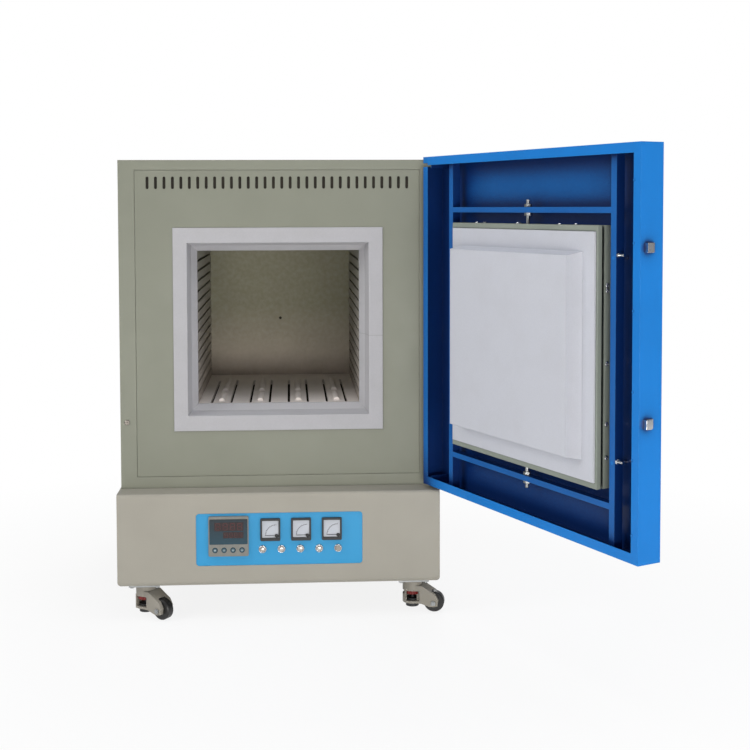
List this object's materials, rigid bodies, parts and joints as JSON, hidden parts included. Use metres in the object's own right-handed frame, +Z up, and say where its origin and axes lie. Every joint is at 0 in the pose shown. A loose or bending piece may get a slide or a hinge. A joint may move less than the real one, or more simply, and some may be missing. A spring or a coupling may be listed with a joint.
{
  "type": "muffle furnace",
  "caption": "Box muffle furnace on levelling casters: slotted fibre chamber, hinged tray door with a bevelled plug on a floating carrier, and a control base below.",
  "frame": {"origin": "on the floor, under the middle of the outline with the door open", "axes": "+Z up, -Y the front of the furnace, +X its right side, where the door is hinged"},
  "size_m": [1.1336, 1.5708, 1.113],
  "materials": {
    "casing_paint": "fine textured powder coat, grey-green",
    "base_paint": "fine textured powder coat, warm light grey",
    "door_paint": "semi-gloss powder coat, blue",
    "carrier_paint": "satin powder coat, grey-green",
    "fascia_film": "satin light blue",
    "ceramic_fibre": "matt vacuum-formed fibre, white",
    "chamber_fibre": "matt fibre board, fired off-white",
    "blanket": "matt fibre blanket",
    "resistance_alloy": "dark oxidised alloy",
    "sheath_ceramic": "plain alumina",
    "black_plastic": "fine matt black",
    "regulator_metal": "dark anodised",
    "controller_plastic": "matt warm grey",
    "key_rubber": "matt dark",
    "needle_black": "matt black",
    "chrome": "polished",
    "button_red": "translucent red lens",
    "button_white": "gloss white",
    "switch_metal": "satin dark nickel",
    "zinc_steel": "bright zinc plate",
    "caster_casting": "die-cast, satin grey",
    "wheel_nylon": "black nylon",
    "dial_red": "moulded red"
  },
  "bodies": {
    "furnace": {"casing_shell": "casing_paint", "front_panel": "casing_paint", "back_cover": "casing_paint", "chamber_walls": "chamber_fibre", "chamber_floor": "chamber_fibre", "chamber_back_wall": "chamber_fibre", "mouth_collar": "ceramic_fibre", "heating_elements": "resistance_alloy", "insulation_jacket": "blanket", "thermocouple": "sheath_ceramic", "base_shell": "base_paint", "base_back_cover": "base_paint", "cable_gland": "black_plastic", "power_regulator": "regulator_metal", "fascia_panel": "fascia_film", "controller": "controller_plastic", "meter_housings": "black_plastic", "button_bezels": "chrome", "hinge_brackets": "casing_paint", "latch_bases": "zinc_steel", "caster_plates": "zinc_steel"},
    "door": {"door_shell": "door_paint", "door_subframe": "door_paint", "plug_carrier": "carrier_paint", "door_plug": "ceramic_fibre", "suspension_bolts": "zinc_steel", "door_handle": "chrome", "latch_keepers": "chrome"},
    "controller_key_1": {"controller_key_1": "key_rubber"},
    "controller_key_2": {"controller_key_2": "key_rubber"},
    "controller_key_3": {"controller_key_3": "key_rubber"},
    "controller_key_4": {"controller_key_4": "key_rubber"},
    "meter_needle_1": {"meter_needle_1": "needle_black"},
    "meter_needle_2": {"meter_needle_2": "needle_black"},
    "meter_needle_3": {"meter_needle_3": "needle_black"},
    "push_button_1": {"push_button_1": "button_red"},
    "push_button_2": {"push_button_2": "button_white"},
    "push_button_3": {"push_button_3": "button_white"},
    "push_button_4": {"push_button_4": "button_white"},
    "lock_switch": {"lock_switch": "switch_metal"},
    "latch_lever_upper": {"latch_lever_upper": "zinc_steel"},
    "latch_bail_upper": {"latch_bail_upper": "chrome"},
    "latch_lever_lower": {"latch_lever_lower": "zinc_steel"},
    "latch_bail_lower": {"latch_bail_lower": "chrome"},
    "caster_fork_1": {"caster_fork_1": "caster_casting"},
    "caster_wheel_1": {"caster_wheel_1": "wheel_nylon"},
    "caster_dial_1": {"caster_dial_1": "dial_red"},
    "caster_foot_1": {"caster_foot_1": "black_plastic"},
    "caster_fork_2": {"caster_fork_2": "caster_casting"},
    "caster_wheel_2": {"caster_wheel_2": "wheel_nylon"},
    "caster_dial_2": {"caster_dial_2": "dial_red"},
    "caster_foot_2": {"caster_foot_2": "black_plastic"},
    "caster_fork_3": {"caster_fork_3": "caster_casting"},
    "caster_wheel_3": {"caster_wheel_3": "wheel_nylon"},
    "caster_dial_3": {"caster_dial_3": "dial_red"},
    "caster_foot_3": {"caster_foot_3": "black_plastic"},
    "caster_fork_4": {"caster_fork_4": "caster_casting"},
    "caster_wheel_4": {"caster_wheel_4": "wheel_nylon"},
    "caster_dial_4": {"caster_dial_4": "dial_red"},
    "caster_foot_4": {"caster_foot_4": "black_plastic"}
  },
  "joints": [
    {"name": "door_swing", "type": "hinge", "parent": "furnace", "child": "door", "pos_m": [0.20423, -0.08158, 0.708], "axis": [0, 0, 1], "range_deg": [-115, 17]},
    {"name": "controller_key_1_press", "type": "slide", "parent": "furnace", "child": "controller_key_1", "axis": [0, 1, 0], "range_m": [0, 0.001], "stiffness_N_per_m": 300},
    {"name": "controller_key_2_press", "type": "slide", "parent": "furnace", "child": "controller_key_2", "axis": [0, 1, 0], "range_m": [0, 0.001], "stiffness_N_per_m": 300},
    {"name": "controller_key_3_press", "type": "slide", "parent": "furnace", "child": "controller_key_3", "axis": [0, 1, 0], "range_m": [0, 0.001], "stiffness_N_per_m": 300},
    {"name": "controller_key_4_press", "type": "slide", "parent": "furnace", "child": "controller_key_4", "axis": [0, 1, 0], "range_m": [0, 0.001], "stiffness_N_per_m": 300},
    {"name": "meter_needle_1_turn", "type": "hinge", "parent": "furnace", "child": "meter_needle_1", "pos_m": [-0.17977, -0.12258, 0.205], "axis": [0, 1, 0], "range_deg": [0, 90], "stiffness_Nm_per_rad": 0.0001},
    {"name": "meter_needle_2_turn", "type": "hinge", "parent": "furnace", "child": "meter_needle_2", "pos_m": [-0.10577, -0.12258, 0.205], "axis": [0, 1, 0], "range_deg": [0, 90], "stiffness_Nm_per_rad": 0.0001},
    {"name": "meter_needle_3_turn", "type": "hinge", "parent": "furnace", "child": "meter_needle_3", "pos_m": [-0.03177, -0.12258, 0.205], "axis": [0, 1, 0], "range_deg": [0, 90], "stiffness_Nm_per_rad": 0.0001},
    {"name": "push_button_1_press", "type": "slide", "parent": "furnace", "child": "push_button_1", "axis": [0, 1, 0], "range_m": [0, 0.003], "stiffness_N_per_m": 300},
    {"name": "push_button_2_press", "type": "slide", "parent": "furnace", "child": "push_button_2", "axis": [0, 1, 0], "range_m": [0, 0.003], "stiffness_N_per_m": 300},
    {"name": "push_button_3_press", "type": "slide", "parent": "furnace", "child": "push_button_3", "axis": [0, 1, 0], "range_m": [0, 0.003], "stiffness_N_per_m": 300},
    {"name": "push_button_4_press", "type": "slide", "parent": "furnace", "child": "push_button_4", "axis": [0, 1, 0], "range_m": [0, 0.003], "stiffness_N_per_m": 300},
    {"name": "lock_switch_turn", "type": "hinge", "parent": "furnace", "child": "lock_switch", "pos_m": [-0.03077, -0.11858, 0.171], "axis": [0, 1, 0], "range_deg": [0, 90]},
    {"name": "latch_lever_upper_swing", "type": "hinge", "parent": "furnace", "child": "latch_lever_upper", "pos_m": [-0.56177, 0.01742, 0.916], "axis": [0, 0, 1], "range_deg": [0, 90]},
    {"name": "latch_bail_upper_swing", "type": "hinge", "parent": "furnace", "child": "latch_bail_upper", "pos_m": [-0.56177, 0.03342, 0.916], "axis": [0, 0, 1], "range_deg": [0, 180]},
    {"name": "latch_lever_lower_swing", "type": "hinge", "parent": "furnace", "child": "latch_lever_lower", "pos_m": [-0.56177, 0.01742, 0.585], "axis": [0, 0, 1], "range_deg": [0, 90]},
    {"name": "latch_bail_lower_swing", "type": "hinge", "parent": "furnace", "child": "latch_bail_lower", "pos_m": [-0.56177, 0.03342, 0.585], "axis": [0, 0, 1], "range_deg": [0, 180]},
    {"name": "caster_1_swivel", "type": "hinge", "parent": "furnace", "child": "caster_fork_1", "pos_m": [-0.49777, -0.07158, 0.06], "axis": [0, 0, 1], "continuous": true},
    {"name": "caster_1_roll", "type": "hinge", "parent": "caster_fork_1", "child": "caster_wheel_1", "pos_m": [-0.45354, -0.10256, 0.025], "axis": [0.5736, 0.8192, 0], "continuous": true},
    {"name": "caster_1_dial_turn", "type": "hinge", "parent": "caster_fork_1", "child": "caster_dial_1", "pos_m": [-0.49777, -0.07158, 0.047], "axis": [0, 0, 1], "range_deg": [0, 1800]},
    {"name": "caster_1_foot_lift", "type": "slide", "parent": "caster_fork_1", "child": "caster_foot_1", "axis": [0, 0, -1], "range_m": [0, 0.01]},
    {"name": "caster_2_swivel", "type": "hinge", "parent": "furnace", "child": "caster_fork_2", "pos_m": [0.15423, -0.07158, 0.06], "axis": [0, 0, 1], "continuous": true},
    {"name": "caster_2_roll", "type": "hinge", "parent": "caster_fork_2", "child": "caster_wheel_2", "pos_m": [0.20684, -0.08373, 0.025], "axis": [0.225, 0.9744, 0], "continuous": true},
    {"name": "caster_2_dial_turn", "type": "hinge", "parent": "caster_fork_2", "child": "caster_dial_2", "pos_m": [0.15423, -0.07158, 0.047], "axis": [0, 0, 1], "range_deg": [0, 1800]},
    {"name": "caster_2_foot_lift", "type": "slide", "parent": "caster_fork_2", "child": "caster_foot_2", "axis": [0, 0, -1], "range_m": [0, 0.01]},
    {"name": "caster_3_swivel", "type": "hinge", "parent": "furnace", "child": "caster_fork_3", "pos_m": [-0.49777, 0.71442, 0.06], "axis": [0, 0, 1], "continuous": true},
    {"name": "caster_3_roll", "type": "hinge", "parent": "caster_fork_3", "child": "caster_wheel_3", "pos_m": [-0.44883, 0.73724, 0.025], "axis": [-0.4226, 0.9063, 0], "continuous": true},
    {"name": "caster_3_dial_turn", "type": "hinge", "parent": "caster_fork_3", "child": "caster_dial_3", "pos_m": [-0.49777, 0.71442, 0.047], "axis": [0, 0, 1], "range_deg": [0, 1800]},
    {"name": "caster_3_foot_lift", "type": "slide", "parent": "caster_fork_3", "child": "caster_foot_3", "axis": [0, 0, -1], "range_m": [0, 0.01]},
    {"name": "caster_4_swivel", "type": "hinge", "parent": "furnace", "child": "caster_fork_4", "pos_m": [0.15423, 0.71442, 0.06], "axis": [0, 0, 1], "continuous": true},
    {"name": "caster_4_roll", "type": "hinge", "parent": "caster_fork_4", "child": "caster_wheel_4", "pos_m": [0.10529, 0.73724, 0.025], "axis": [-0.4226, -0.9063, 0], "continuous": true},
    {"name": "caster_4_dial_turn", "type": "hinge", "parent": "caster_fork_4", "child": "caster_dial_4", "pos_m": [0.15423, 0.71442, 0.047], "axis": [0, 0, 1], "range_deg": [0, 1800]},
    {"name": "caster_4_foot_lift", "type": "slide", "parent": "caster_fork_4", "child": "caster_foot_4", "axis": [0, 0, -1], "range_m": [0, 0.01]}
  ],
  "couplings": [
    {"joint": "caster_1_dial_turn", "follows": "caster_1_foot_lift", "rad_per_m": 3141.6},
    {"joint": "caster_2_dial_turn", "follows": "caster_2_foot_lift", "rad_per_m": 3141.6},
    {"joint": "caster_3_dial_turn", "follows": "caster_3_foot_lift", "rad_per_m": 3141.6},
    {"joint": "caster_4_dial_turn", "follows": "caster_4_foot_lift", "rad_per_m": 3141.6}
  ]
}
